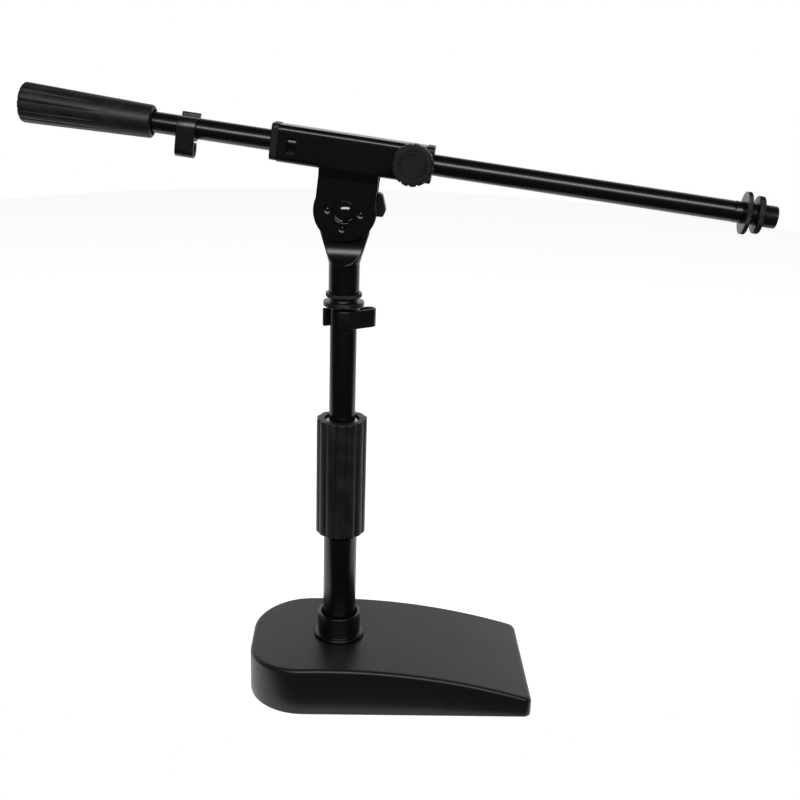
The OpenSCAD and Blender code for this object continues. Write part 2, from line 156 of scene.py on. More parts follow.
class NodeTree:
    """A node tree that is written as expressions: every node it makes comes back as a Value."""

    def __init__(self, tree):
        self.tree = tree

    def feed(self, node, values):
        for key, value in values.items():
            if isinstance(value, Value):
                self.tree.links.new(value.socket, node.inputs[key])
            else:
                node.inputs[key].default_value = value

    def node(self, kind, values, out=0, stops=(), **settings):
        made = self.tree.nodes.new(kind)
        for key, value in settings.items():
            setattr(made, key, value)
        if stops:
            made.color_ramp.elements[0].position, made.color_ramp.elements[1].position = stops
        self.feed(made, values)
        return Value(self, made.outputs[out])

    def between(self, low, high, mask):
        """The value from low to high that the mask picks."""
        return low + mask * (high - low)

    def step(self, value, low, high):
        """0 below low and 1 above high, smooth between."""
        values = {"Value": value, "From Min": low, "From Max": high}
        return self.node("ShaderNodeMapRange", values, interpolation_type="SMOOTHSTEP")


class Finish(NodeTree):
    """One material: a Principled shader fed with numbers, or with Values where a pattern varies."""

    def __init__(self, name):
        self.material = bpy.data.materials.new(name)
        self.material.use_nodes = True
        super().__init__(self.material.node_tree)
        self.shader = self.tree.nodes["Principled BSDF"]
        self.place = self.node("ShaderNodeTexCoord", {}, out="Object")

    def grain(self, size, detail=2.0, rough=0.5):
        """Noise whose lumps are about size millimetres across, from 0 to 1."""
        values = {"Vector": self.place, "Scale": 1000 / size, "Detail": detail, "Roughness": rough}
        return self.node("ShaderNodeTexNoise", values)

    def tint(self, dark, light, mask):
        """A colour between two, mixed by the mask."""
        values = {0: mask, 6: (*dark, 1), 7: (*light, 1)}
        return self.node("ShaderNodeMix", values, out=2, data_type="RGBA")

    def relief(self, height, depth):
        """A bump whose full height is depth millimetres."""
        values = {"Height": height, "Strength": 1.0, "Distance": depth * MM}
        return self.node("ShaderNodeBump", values)

    def finish(self, **sockets):
        self.feed(self.shader, {key.replace("_", " "): value for key, value in sockets.items()})
        return self.material


def paint(thing, material):
    """Gives every face of an object one material."""
    slots = thing.data.materials
    slots.clear()
    slots.append(material)
    return thing


def crown(x):
    """Height of the arched top: a circle of the crown radius, cut at x."""
    return crest_z - crown_radius + np.sqrt(crown_radius**2 - (x - crown_x) ** 2)


def circle_at(angle, radius):
    """Points of a circle round the mast, at the given angles."""
    return np.stack([np.cos(angle), np.sin(angle)], axis=1) * radius


right, side = base_left + base_length, base_width / 2
plan = [(base_left, -side), (right, -side), (right, side), (base_left, side)]
outline = even(fillet(plan, [back_radius, front_radius, front_radius, back_radius], 24), 480)
towards = np.arctan2(outline[:, 1], outline[:, 0])
turn = np.linspace(0, math.pi / 2, 8)
loops = [raised(inset(outline, 0.8), skirt_z), raised(inset(outline, 0.2), skirt_z + 0.25)]
loops += [raised(outline, skirt_z + 0.9)]
wall = crown(outline[:, 0]) - rim_radius
loops += [raised(outline, skirt_z + 0.9 + (wall - skirt_z - 0.9) * t) for t in (0.33, 0.67)]
for t in turn:
    rim = inset(outline, rim_radius * (1 - math.cos(t)))
    loops.append(raised(rim, crown(rim[:, 0]) - rim_radius * (1 - math.sin(t))))
spot = circle_at(towards, spot_radius + 0.5)
for t in np.linspace(0.04, 1, 26):
    ring = rim + (spot - rim) * t
    loops.append(raised(ring, crown(ring[:, 0])))
for radius, drop in ((spot_radius + 0.15, 0.12), (spot_radius, 0.35)):
    ring = circle_at(towards, radius)
    loops.append(raised(ring, np.maximum(crown(ring[:, 0]) - drop, spot_z)))
for radius, z in (
    (spot_radius, spot_z),
    (bolt_hole, spot_z),
    (bolt_hole, counterbore_z),
    (counterbore, counterbore_z),
    (counterbore, recess_z),
):
    loops.append(raised(circle_at(towards, radius), z))
loops += [raised(inset(outline, recess_in), recess_z), raised(inset(outline, recess_in), skirt_z)]
casting = piece("casting", skin(loops))

powder = Finish("powder_coat_on_iron")
speck, cloud = powder.grain(0.55, 3), powder.grain(28, 2)
dimpled = powder.step(speck, 0.4, 0.65)
coat = powder.tint((0.0055, 0.0055, 0.0058), (0.0095, 0.0095, 0.0098), dimpled)
height = speck + 0.5 * powder.grain(1.6, 1)
material = powder.finish(
    Base_Color=coat,
    Roughness=powder.between(0.35, 0.4, cloud) + 0.04 * speck,
    Specular_IOR_Level=0.34,
    Normal=powder.relief(height, 0.05),
)
paint(casting, material)
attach(casting, "stand")
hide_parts("base_casting")


# ---- pad, mast bolt and washer ------------------------------------------------------------------
# A moulded rubber pad is glued into the casting's underside, and stops the iron scratching a desk.
# The plated bolt that holds the mast down comes up through the casting with a plain washer.

rubber = Finish("pad_rubber")
speck = rubber.grain(0.8, 2)
paint(
    frame["nodes"]["base_pad"],
    rubber.finish(
        Base_Color=rubber.tint((0.007, 0.007, 0.007), (0.013, 0.013, 0.013), speck),
        Roughness=rubber.between(0.75, 0.9, speck),
        Normal=rubber.relief(speck, 0.06),
    ),
)

zinc = Finish("zinc_plate")
cloud, scratch = zinc.grain(2.5, 4), zinc.grain(0.3, 2)
zinc_plate = zinc.finish(
    Base_Color=zinc.tint((0.36, 0.36, 0.37), (0.52, 0.52, 0.54), cloud),
    Metallic=1.0,
    Roughness=zinc.between(0.28, 0.5, cloud),
    Normal=zinc.relief(scratch, 0.01),
)
hidden_steel = ("mast_bolt", "bolt_washer", "tube_plug", "stem_insert", "lever_washer")
for name in hidden_steel + ("lever_insert", "knob_screw", "boom_weight"):
    paint(frame["nodes"][name], zinc_plate)


# ---- mast socket --------------------------------------------------------------------------------
# A turned steel socket with a flange, clamped on the spot face by the bolt through its floor.
# The lower tube presses into it, and a grub screw in its wall keeps the tube from turning.

socket_radius, socket_top = 17.0, 60.2
flange_radius, flange_top = 19.7, 42.6
tube_seat_radius, tube_seat_z = 13.05, 43.0
relief_radius, relief_z = 14.35, 54.0
grub_z, grub_turn, grub_radius = 51.0, math.radians(25), 1.55


def turned(profile, count=96, cut=None):
    """A turned shape: each profile point (radius, height) goes round the axis in count steps.
    cut(angle, radius, height), if there is one, gives how far the surface is cut inwards."""
    angle = np.linspace(0, 2 * math.pi, count, endpoint=False)[:, None]
    radius, height = np.asarray(profile, float).T[:, None, :]
    angle, radius, height = np.broadcast_arrays(angle, radius, height)
    if cut is not None:
        radius = np.maximum(radius - cut(angle, radius, height), 0)
    return np.stack([radius * np.cos(angle), radius * np.sin(angle), height], axis=-1)


socket_profile = fillet(
    [
        (5.2, spot_z),
        (flange_radius, spot_z),
        (flange_radius, flange_top),
        (socket_radius, flange_top),
        (socket_radius, socket_top),
        (relief_radius, socket_top),
        (relief_radius, relief_z),
        (tube_seat_radius, relief_z),
        (tube_seat_radius, tube_seat_z),
        (5.2, tube_seat_z),
    ],
    [0.1, 0.3, 1.0, 0.5, 0.8, 0.5, 0.1, 0.1, 0.1, 0.1],
)
outwards = np.array([math.sin(grub_turn), -math.cos(grub_turn), 0])
across = np.array([math.cos(grub_turn), math.sin(grub_turn), 0])
grub = turned(
    [(0, -1), (grub_radius, -1), (grub_radius, 0.12), (1.3, 0.25)]
    + [(0.85, 0.25), (0.75, 0.03), (0, 0.03)],
    24,
)
grub = (
    grub[..., :1] * across
    + grub[..., 1:2] * np.array([0, 0, 1])
    + (socket_radius + grub[..., 2:]) * outwards
    + np.array([0, 0, grub_z])
)
socket = piece("mast_socket_turned", skin(turned(socket_profile)), skin(grub))

enamel = Finish("satin_enamel")
peel, cloud, speck = enamel.grain(1.1, 2), enamel.grain(35, 3), enamel.grain(0.35, 2)
satin_enamel = enamel.finish(
    Base_Color=enamel.tint((0.0028, 0.0028, 0.003), (0.0042, 0.0042, 0.0046), cloud),
    Roughness=enamel.between(0.21, 0.26, cloud) + 0.03 * speck,
    Specular_IOR_Level=0.38,
    Normal=enamel.relief(peel, 0.006),
)
paint(socket, satin_enamel)
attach(socket, "stand")
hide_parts("mast_socket")


# ---- lower tube with its plug, bush, collar and collet ------------------------------------------
# The fixed mast is welded steel tube in satin enamel. Inside it are the threaded plug at the foot
# and the nylon guide bush at the top; the clutch closes a split nylon collet round the upper tube.

lower_radius, lower_bottom, lower_top = 13.0, tube_seat_z, 216.0


def tube(outer, inner, start, end, edge=0.35, steps=4):
    """Profile of a plain tube with its end edges broken."""
    corners = [(inner, start), (outer, start), (outer, end), (inner, end)]
    return fillet(corners, edge, steps)


lower = piece("lower_mast_tube", skin(turned(tube(lower_radius, 11.5, lower_bottom, lower_top))))
paint(lower, satin_enamel)
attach(lower, "stand")
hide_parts("lower_tube")

nylon = Finish("natural_nylon")
cloud = nylon.grain(3, 3)
natural_nylon = nylon.finish(
    Base_Color=nylon.tint((0.62, 0.6, 0.54), (0.76, 0.74, 0.69), cloud),
    Roughness=nylon.between(0.42, 0.55, cloud),
    Normal=nylon.relief(nylon.grain(0.4, 1), 0.01),
)
for name in ("guide_bush", "clutch_collet", "tube_glide"):
    paint(frame["nodes"][name], natural_nylon)

plating = Finish("black_plating")
cloud, speck = plating.grain(4, 3), plating.grain(0.3, 2)
black_plating = plating.finish(
    Base_Color=plating.tint((0.028, 0.028, 0.029), (0.045, 0.045, 0.047), cloud),
    Metallic=0.85,
    Roughness=plating.between(0.3, 0.42, cloud),
    Normal=plating.relief(speck, 0.008),
)
paint(frame["nodes"]["mast_stud"], black_plating)
paint(frame["nodes"]["clutch_collar"], satin_enamel)


# ---- twist clutch -------------------------------------------------------------------------------
# The hand grip is soft rubber moulded over a plastic core, with fourteen rounded lobes parted by
# narrow grooves. Its top face is flat, and leaves a dark gap round the sliding tube.

clutch_bottom, clutch_top = 131.5, 225.2
lobes, lobe_radius, clutch_radius = 14, 6.5, 19.4
groove_depth, groove_half = 0.35, 0.035
recess_radius, core_radius, recess_depth, foot_wall = 13.3, 17.3, 1.8, 0.4


def lobe_drop(angle, radius, height):
    """How far the lobed outline lies inside the clutch's radius: the far side of the lobe circle
    nearest in angle, with a crease of its own where two lobes meet."""
    pitch = 2 * math.pi / lobes
    off = (angle / pitch) % 1 - 0.5
    centre = clutch_radius - lobe_radius
    reach = centre * np.cos(off * pitch)
    reach = reach + np.sqrt(lobe_radius**2 - (centre * np.sin(off * pitch)) ** 2)
    crease = groove_depth * np.exp(-(((0.5 - np.abs(off)) / groove_half) ** 2))
    outside = np.clip((radius - 14.6) / 3.0, 0, 1)
    return (clutch_radius - reach + crease) * outside


grip_profile = fillet(
    [
        (recess_radius + 0.1, clutch_bottom),
        (clutch_radius, clutch_bottom),
        (clutch_radius, clutch_top),
        (recess_radius, clutch_top),
        (recess_radius, clutch_top - recess_depth),
        (core_radius, clutch_top - recess_depth),
        (core_radius, clutch_bottom + foot_wall),
        (recess_radius + 0.1, clutch_bottom + foot_wall),
    ],
    [0.2, 1.5, 1.1, 0.5, 0.1, 0.1, 0.1, 0.1],
)
clutch = piece("clutch_grip_moulded", skin(turned(grip_profile, lobes * 28, lobe_drop)))

soft = Finish("grip_rubber")
speck, cloud = soft.grain(0.5, 3), soft.grain(14, 3)
dust = soft.step(cloud + 0.3 * speck, 0.55, 0.85)
grip_rubber = soft.finish(
    Base_Color=soft.tint((0.008, 0.008, 0.0083), (0.014, 0.014, 0.0145), dust),
    Roughness=soft.between(0.43, 0.52, dust),
    Specular_IOR_Level=0.32,
    Normal=soft.relief(speck, 0.03),
)
paint(clutch, grip_rubber)
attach(clutch, "clutch")
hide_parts("clutch_grip")

moulding = Finish("moulded_plastic")
speck, cloud = moulding.grain(0.4, 3), moulding.grain(9, 3)
moulded_plastic = moulding.finish(
    Base_Color=moulding.tint((0.006, 0.006, 0.0063), (0.010, 0.010, 0.0104), cloud),
    Roughness=moulding.between(0.4, 0.5, cloud) + 0.05 * speck,
    Specular_IOR_Level=0.25,
    Normal=moulding.relief(speck, 0.02),
)
paint(frame["nodes"]["clutch_core"], moulded_plastic)


# ---- upper tube and its flange ------------------------------------------------------------------
# The sliding mast is a thinner tube of the same kind. A turned flange with a double-rounded edge is
# pressed into its top, and the neck above it is screw-cut for the head's lock nut.

upper_radius, upper_bottom, upper_top = 10.0, 138.0, 313.2
mast_flange_radius, mast_flange_top = 15.2, 316.6
neck_radius, neck_top, neck_pitch, neck_depth = 10.5, 319.9, 0.94, 0.35
plug_radius, plug_length, stud_bore = 8.45, 15.0, 8.0
edge_groove_z, edge_groove_half, edge_groove_depth = 314.8, 0.4, 0.6

upper = piece("upper_mast_tube", skin(turned(tube(upper_radius, 8.5, upper_bottom, upper_top))))
paint(upper, satin_enamel)
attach(upper, "upper_mast")
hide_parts("upper_tube")


def ridge(turns):
    """A triangle wave of whole turns: 0 in a groove and 1 on the crest half a turn on."""
    return 1 - np.abs(2 * (turns % 1) - 1)


def neck_thread(angle, radius, height):
    """Depth of the screw thread on the neck, one pitch a turn, running out at both ends."""
    depth = neck_depth * (1 - ridge(height / neck_pitch - angle / (2 * math.pi)))
    on_neck = (radius > 9.9) * (radius < 10.8) * (height > mast_flange_top) * (height < neck_top)
    return depth * on_neck


flange_profile = fillet(
    [
        (stud_bore, upper_top - plug_length),
        (plug_radius, upper_top - plug_length),
        (plug_radius, upper_top),
        (mast_flange_radius, upper_top),
        (mast_flange_radius, edge_groove_z - edge_groove_half),
        (mast_flange_radius - edge_groove_depth, edge_groove_z),
        (mast_flange_radius, edge_groove_z + edge_groove_half),
        (mast_flange_radius, mast_flange_top),
        (neck_radius, mast_flange_top),
        (neck_radius, neck_top),
        (stud_bore, neck_top),
    ],
    [0.1, 0.1, 0.1, 0.5, 0.2, 0.15, 0.2, 0.6, 0.2, 0.3, 0.1],
)
flange_profile = even(flange_profile, 260)
flange = piece("mast_flange_turned", skin(turned(flange_profile, 96, neck_thread)))
paint(flange, black_plating)
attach(flange, "upper_mast")
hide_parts("mast_flange")


# ---- head lock nut ------------------------------------------------------------------------------
# A thin round nut, turned from bar and knurled in diamonds, which jams the head on its thread.

head_nut_bottom, head_nut_top, head_nut_radius, head_nut_bore = 320.1, 323.2, 13.5, 8.05
head_nut_points, head_nut_lead, point_steps = 44, 1.7, 8


def knurl(count, lead, low, high, rim, depth):
    """Depth of a diamond knurl on a rim: two families of helical grooves cross, count of each
    round the rim, and a point is as high as the lower of its two ridges."""

    def cut(angle, radius, height):
        turns, climb = angle * count / (2 * math.pi), height / lead
        point = np.minimum(ridge(turns + climb), ridge(turns - climb))
        return depth * (1 - point) * (radius > rim - 0.5) * (height > low) * (height < high)

    return cut


nut_edges = [0.3, 0.7, 0.7, 0.3]
nut_profile = tube(head_nut_radius, head_nut_bore, head_nut_bottom, head_nut_top, nut_edges, 7)
nut_band = (head_nut_bottom + 0.2, head_nut_top - 0.2)
nut_cut = knurl(head_nut_points, head_nut_lead, *nut_band, head_nut_radius, 0.6)
nut_grid = turned(even(nut_profile, 110), head_nut_points * point_steps, nut_cut)
head_nut = piece("head_lock_nut", skin(nut_grid), crease=60)
paint(head_nut, black_plating)
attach(head_nut, "head_lock_nut")
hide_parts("head_nut")


# ---- head stem ----------------------------------------------------------------------------------
# A short tube whose upper end is pressed flat between dies, which leaves a spoon-shaped dish on
# each face and lets the sides spread into a tongue. A threaded insert sits in its foot.

joints = {joint["name"]: joint for joint in frame["joints"]}
pivot = np.array(joints["boom_tilt"]["pos_m"]) / MM
boom_x = np.array(joints["boom_slide"]["axis"], float)
boom_y = np.array(joints["boom_tilt"]["axis"], float)
boom_z = np.cross(boom_x, boom_y)
head_x = np.array([boom_y[1], -boom_y[0], 0])
stem_bottom, stem_radius, stem_bore = 323.4, 11.35, 9.15
spread_z, spread_end, tongue_half, tongue_depth = 345.0, 367.5, 18.2, 3.0
dish_radius, dish_z = 17.5, 360.0


def in_head(points):
    """Points given across, along the head's pivot, and up, turned with the head about the mast."""
    x, y, z = np.moveaxis(np.asarray(points, float), -1, 0)
    return x[..., None] * head_x + y[..., None] * boom_y + z[..., None] * np.array([0, 0, 1.0])


def soft_least(a, b, blend):
    """The lesser of two values, rounded off over the blend where they meet."""
    h = np.clip(0.5 + 0.5 * (b - a) / blend, 0, 1)
    return b + (a - b) * h - blend * h * (1 - h)


def stem_section(z, half, count=112):
    """One level of the stem: an ellipse that widens with height, its depth held to the dish's."""
    angle = np.linspace(0, 2 * math.pi, count, endpoint=False)
    flat = np.clip((z - spread_z) / (spread_end - spread_z), 0, 1)
    deep = stem_radius + (tongue_half * 0.5 - stem_radius) * flat
    below = np.clip(dish_z - z, 0, dish_radius)
    dish = tongue_depth + dish_radius - math.sqrt(dish_radius**2 - below**2)
    dish = dish + 8 * max(0, below - 14.9)
    x = half * np.cos(angle)
    y = deep * np.sin(angle)
    y = np.sign(y) * soft_least(np.abs(y), dish, 0.9)
    return np.stack([x, y, np.full(count, float(z))], axis=1)


def stem_half(z):
    """Half-width of the stem: the tube, the straight spread, the tongue and its round end."""
    spread = np.clip((z - spread_z) / (spread_end - spread_z), 0, 1)
    half = stem_radius + (tongue_half - stem_radius) * spread
    over = max(0.0, z - pivot[2])
    return half if over == 0 else math.sqrt(max(tongue_half**2 - over**2, 0))


levels = np.r_[
    np.linspace(stem_bottom + 0.4, spread_z - 0.5, 14),
    np.linspace(spread_z, dish_z + 1, 60),
    np.linspace(dish_z + 2, pivot[2], 14),
    pivot[2] + tongue_half * np.sin(np.linspace(0.1, math.pi / 2 - 0.02, 20)),
]
foot = [(stem_bore, 340.0), (stem_bore, stem_bottom + 0.3), (stem_bore + 0.3, stem_bottom)]
foot += [(stem_radius - 0.3, stem_bottom)]
angle = np.linspace(0, 2 * math.pi, 112, endpoint=False)
stem_loops = [raised(circle_at(angle, 0), 340.0)]
stem_loops += [raised(circle_at(angle, radius), z) for radius, z in foot]
stem_loops += [stem_section(z, stem_half(z)) for z in levels]
stem_loops += [raised(circle_at(angle, 0), pivot[2] + tongue_half)]
stem = piece("head_stem_pressed", skin(in_head(np.array(stem_loops)), round_u=False), crease=45)
paint(stem, satin_enamel)
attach(stem, "head")
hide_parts("head_stem")


# ---- friction discs -----------------------------------------------------------------------------
# Two washers of enamelled steel, one each side of the tongue, carry the clamping pressure.

disc_radius, disc_inner, disc_outer = 22.8, 3.0, 4.6


def about_pivot(grid, x=0.0, z=0.0):
    """A turned shape laid on the pivot's direction, in the head's frame, centred at x and z."""
    return np.stack([grid[..., 0] + x, grid[..., 2], grid[..., 1] + z], axis=-1)


disc_skins = []
for side_y in (-1, 1):
    ends = sorted((side_y * disc_inner, side_y * disc_outer))
    disc = about_pivot(turned(tube(disc_radius, 4.1, *ends, edge=0.5)), z=pivot[2])
    disc_skins.append(skin(in_head(disc)))
discs = piece("friction_disc_pair", *disc_skins)
paint(discs, satin_enamel)
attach(discs, "head")
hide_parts("friction_discs")


# ---- clamp bracket ------------------------------------------------------------------------------
# One blank of 1.8 mm steel, folded into a square-shouldered sleeve round the boom. Its walls are
# joggled inwards and run down as two round-ended cheeks, with pierced windows for the caps' lugs.

sheet = 1.8
boom_rise = 41.6
sleeve_half, sleeve_y, sleeve_low, sleeve_high, sleeve_round = 52.5, 9.6, 28.0, 54.2, 4.0
cheek_radius, cheek_y = 21.5, 6.5
slot_half, edge_round = 4.7, 0.16
joggle_high, joggle_low, joggle_round, joggle_end = 29.4, 22.8, 3.2, 18.6
window_x, window_half, window_low, window_high = 42.6, 3.2, 35.4, 45.7
dimple_at, dimple_radius, dimple_depth, dimple_slope = 12.0, 2.7, 0.6, 0.55
pip_radius, pip_height, pip_slope = 0.95, 0.42, 0.4
split_z = sleeve_low + sleeve_round


def on_boom(points):
    """Points in the boom's frame (along it, towards the lever, up from the pivot) put in place."""
    x, y, z = np.moveaxis(np.asarray(points, float), -1, 0)
    return pivot + x[..., None] * boom_x + y[..., None] * boom_y + z[..., None] * boom_z


def sweep_x(x, path):
    """A sheet: the path in (y, z) carried along the x values."""
    x, path = np.asarray(x, float), np.asarray(path, float)
    grid = np.empty((len(x), len(path), 3))
    grid[..., 0], grid[..., 1:] = x[:, None], path[None]
    return grid


def unless(grid, hole):
    """The sheet's quads, without those whose middle the hole test says is open."""
    points, quads = skin(grid, False, False)
    middle = points[quads].mean(axis=1)
    return points, quads[~hole(*middle.T)]


def window(x, y, z):
    """True inside the pierced windows: both walls at the left, the lever's wall at the right."""
    near = np.abs(np.abs(x) - window_x) < window_half
    open_side = (x < 0) | (y > 0)
    return near & open_side & (z > window_low) & (z < window_high) & (np.abs(y) > sleeve_y - 0.1)


lip_x = np.r_[
    np.linspace(sleeve_half, window_x + window_half, 6)[:-1],
    np.linspace(window_x + window_half, window_x - window_half, 7)[:-1],
    np.linspace(window_x - window_half, cheek_radius, 13),
]
cheek_x = np.linspace(-cheek_radius, cheek_radius, 105)
all_x = np.r_[-lip_x[:-1], cheek_x, lip_x[::-1][1:]]
wall_z = np.r_[
    np.linspace(split_z, window_low, 4)[:-1],
    np.linspace(window_low, window_high, 9)[:-1],
    np.linspace(window_high, sleeve_high - sleeve_round, 4),
]
bend = np.linspace(0, math.pi / 2, 9)[1:]
left_wall = np.column_stack([np.full(len(wall_z), -sleeve_y), wall_z])
corner = circle_at(math.pi - bend, sleeve_round)
corner += [sleeve_round - sleeve_y, sleeve_high - sleeve_round]
left_half = np.vstack([left_wall, corner, [[-3.0, sleeve_high], [0, sleeve_high]]])
over_path = np.vstack([left_half, (left_half * [-1, 1])[-2::-1]])
lip_bend = np.linspace(0, math.pi / 2, 9)
lip_path = circle_at(-lip_bend, sleeve_round) + [sleeve_y - sleeve_round, split_z]
lip_path = np.vstack([lip_path, [[slot_half, sleeve_low]]])
joggle = [(sleeve_y, split_z), (sleeve_y, joggle_high), (cheek_y, joggle_low), (cheek_y, 0.0)]
joggle = fillet(joggle, joggle_round, 7, closed=False)
cheek_z = np.linspace(joggle_end, 0, 36)
joggle = np.vstack([joggle[:-1], np.column_stack([np.full(len(cheek_z), cheek_y), cheek_z])])

sheets = [unless(sweep_x(all_x, over_path), window)]
for hand in (-1, 1):
    for end in (-1, 1):
        sheets.append(skin(sweep_x(end * lip_x, lip_path * [hand, 1]), False, False))
    straight = sweep_x(cheek_x, joggle * [hand, 1])
    down = np.linspace(0, math.pi / 2, 46)[1:]
    share = (cheek_x / cheek_radius)[:, None]
    round_end = np.stack(
        np.broadcast_arrays(
            share * cheek_radius * np.cos(down), hand * cheek_y, -cheek_radius * np.sin(down)
        ),
        axis=-1,
    )
    sheets.append(skin(np.concatenate([straight, round_end], axis=1), False, False))

bracket = piece("clamp_bracket_folded", *sheets, crease=40)
wall = bracket.modifiers.new("wall", "SOLIDIFY")
wall.thickness, wall.offset, wall.use_even_offset = sheet * MM, -1, True
edge = bracket.modifiers.new("edge", "BEVEL")
edge.width, edge.segments, edge.limit_method, edge.angle_limit = edge_round * MM, 2, "ANGLE", 1.0
ready = bpy.context.evaluated_depsgraph_get()
folded = bpy.data.meshes.new_from_object(bracket.evaluated_get(ready))
flat_mesh, bracket.data = bracket.data, folded
bracket.modifiers.clear()
bpy.data.meshes.remove(flat_mesh)

flat = np.empty(len(folded.vertices) * 3)
folded.vertices.foreach_get("co", flat)
points = flat.reshape(-1, 3) / MM
front = points[:, 1] < -cheek_y + 0.05
for bearing in np.radians((0, 180, 270)):
    centre = dimple_at * np.array([math.cos(bearing), math.sin(bearing)])
    reach = np.hypot(points[:, 0] - centre[0], points[:, 2] - centre[1])
    dent = dimple_depth * np.clip((dimple_radius - reach) / dimple_slope, 0, 1)
    pip = pip_height * np.clip((pip_radius - reach) / pip_slope, 0, 1)
    points[:, 1] += np.where(front & (np.abs(points[:, 1] + cheek_y) < 0.1), dent - pip, 0)
folded.vertices.foreach_set("co", (on_boom(points) * MM).ravel())
folded.update()
folded.shade_smooth()
folded.set_sharp_from_angle(angle=math.radians(40))
paint(bracket, satin_enamel)
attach(bracket, "clamp")
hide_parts("clamp_bracket")


# ---- end caps -----------------------------------------------------------------------------------
# Moulded caps close the sleeve's ends and guide the boom. Each is pushed in on a spigot, and holds
# by a wedge-shaped lug that springs into the windows.

cap_thick, cap_bore = 5.3, 7.56
cap_half, cap_low, cap_high, cap_round = 9.4, 28.7, 54.6, 3.4
spigot_end, spigot_half, spigot_levels = 39.6, 5.8, ((29.9, 33.9), (49.3, 52.2))
lug_x, lug_half, lug_in, lug_out = 42.6, 2.7, 4.0, 9.0
lug_levels = (34.0, 35.5, 38.2, 36.1)


def block(x0, x1, y0, y1, low0, low1, high0, high1):
    """A small wedge: six faces between two ends in y, whose top and bottom slope along y."""
    corners = np.array(
        [
            [(x0, y0, low0), (x1, y0, low0), (x1, y0, high0), (x0, y0, high0)],
            [(x0, y1, low1), (x1, y1, low1), (x1, y1, high1), (x0, y1, high1)],
        ]
    )
    middle = corners.mean(axis=1, keepdims=True).repeat(4, axis=1)
    return skin(np.stack([middle[0], corners[0], corners[1], middle[1]]), round_u=False)


cap_corners = [(-cap_half, cap_low), (cap_half, cap_low)]
cap_corners += [(cap_half, cap_high), (-cap_half, cap_high)]
cap_outline = even(fillet(cap_corners, cap_round, 12), 160)
cap_angle = np.arctan2(cap_outline[:, 1] - boom_rise, cap_outline[:, 0])


def cap_loop(x, inwards, radius=None):
    """One ring of the cap: its outline moved inwards, or a circle round the boom."""
    if radius is None:
        ring = inset(cap_outline, inwards)
    else:
        ring = circle_at(cap_angle, radius) + [0, boom_rise]
    return np.column_stack([np.full(len(ring), x), ring])


for side_name, hand in (("left", -1), ("right", 1)):
    start, stop = sleeve_half + 0.05, sleeve_half + cap_thick
    rings = [cap_loop(start, 0.25), cap_loop(start + 0.3, 0)]
    rings += [
        cap_loop(stop - 0.9 * (1 - math.sin(t)), 0.9 * (1 - math.cos(t))) for t in turn[::2]
    ]
    rings += [cap_loop(stop, 1.4), cap_loop(stop, 0, 8.3), cap_loop(stop - 0.5, 0, cap_bore)]
    rings += [cap_loop(start, 0, cap_bore)]
    skins = [skin(np.array(rings) * [hand, 1, 1])]
    wedges = [
        block(spigot_end, start + 0.1, -spigot_half, spigot_half, low, low, high, high)
        for low, high in spigot_levels
    ]
    for side_y in (-1, 1) if hand < 0 else (1,):
        sides = (lug_x - lug_half, lug_x + lug_half, side_y * lug_in, side_y * lug_out)
        wedges.append(block(*sides, *lug_levels))
    skins += [(points * [hand, 1, 1], quads) for points, quads in wedges]
    cap = piece(f"cap_{side_name}_moulded", *[(on_boom(points), quads) for points, quads in skins])
    paint(cap, moulded_plastic)
    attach(cap, "clamp")
    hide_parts(f"cap_{side_name}")


# ---- pivot bolt ---------------------------------------------------------------------------------
# A domed bolt, gloss black, whose square neck is held in the near cheek; it passes through the
# discs and the tongue into the lever's insert.

dome_radius, dome_height, shank_radius, shank_end = 8.45, 4.5, 4.0, 19.5
ball = (dome_radius**2 + dome_height**2) / (2 * dome_height)
sweep = np.linspace(0, math.asin(dome_radius * 0.985 / ball), 22)
dome = np.column_stack([ball * np.sin(sweep), -cheek_y - dome_height + ball * (1 - np.cos(sweep))])
bolt_profile = np.vstack(
    [
        dome,
        [[dome_radius, -cheek_y - 0.25], [dome_radius - 0.1, -cheek_y - 0.02]],
        [[shank_radius, -cheek_y - 0.02], [shank_radius, shank_end - 0.6]],
        [[shank_radius - 0.6, shank_end], [0, shank_end]],
    ]
)
bolt = piece("pivot_bolt_domed", skin(on_boom(about_pivot(turned(bolt_profile, 72)))))
gloss = Finish("gloss_black")
cloud = gloss.grain(6, 2)
paint(
    bolt,
    gloss.finish(
        Base_Color=gloss.tint((0.004, 0.004, 0.004), (0.006, 0.006, 0.0063), cloud),
        Roughness=gloss.between(0.07, 0.12, cloud),
        Coat_Weight=0.5,
        Normal=gloss.relief(gloss.grain(1.5, 1), 0.003),
    ),
)
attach(bolt, "clamp")
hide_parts("pivot_bolt")


# ---- tilt lever ---------------------------------------------------------------------------------
# The tilt is locked by a moulded lever on the far side, with a thumb paddle that reaches past the
# cheek. It is moulded round a threaded steel insert.

lever_back, paddle_back, lever_front, hub_radius, lever_round = 8.25, 9.8, 18.7, 9.5, 1.3
lever_corners = [
    (-9.5, -9.5),
    (7.2, -9.5),
    (12.2, -3.0),
    (26.9, -2.2),
    (28.2, 3.0),
    (24.2, 14.2),
    (16.6, 14.9),
    (10.5, 9.5),
    (-9.5, 9.5),
]
lever_rounds = [9.3, 3.6, 3.2, 1.6, 2.6, 3.6, 3.6, 4.0, 9.3]
lever_outline = even(fillet(lever_corners, lever_rounds, 10), 200)
lever_loops = []
for y, inwards in ((lever_back, 0.7), (lever_back + 0.7, 0.0)):
    lever_loops.append((inset(lever_outline, inwards), y))
for t in turn:
    back_by, y = lever_round * (1 - math.cos(t)), lever_front - lever_round * (1 - math.sin(t))
    lever_loops.append((inset(lever_outline, back_by), y))
face = lever_loops[-1][0]
lever_angle = np.arctan2(lever_outline[:, 1], lever_outline[:, 0])
hub_ring = circle_at(lever_angle, 7.4)
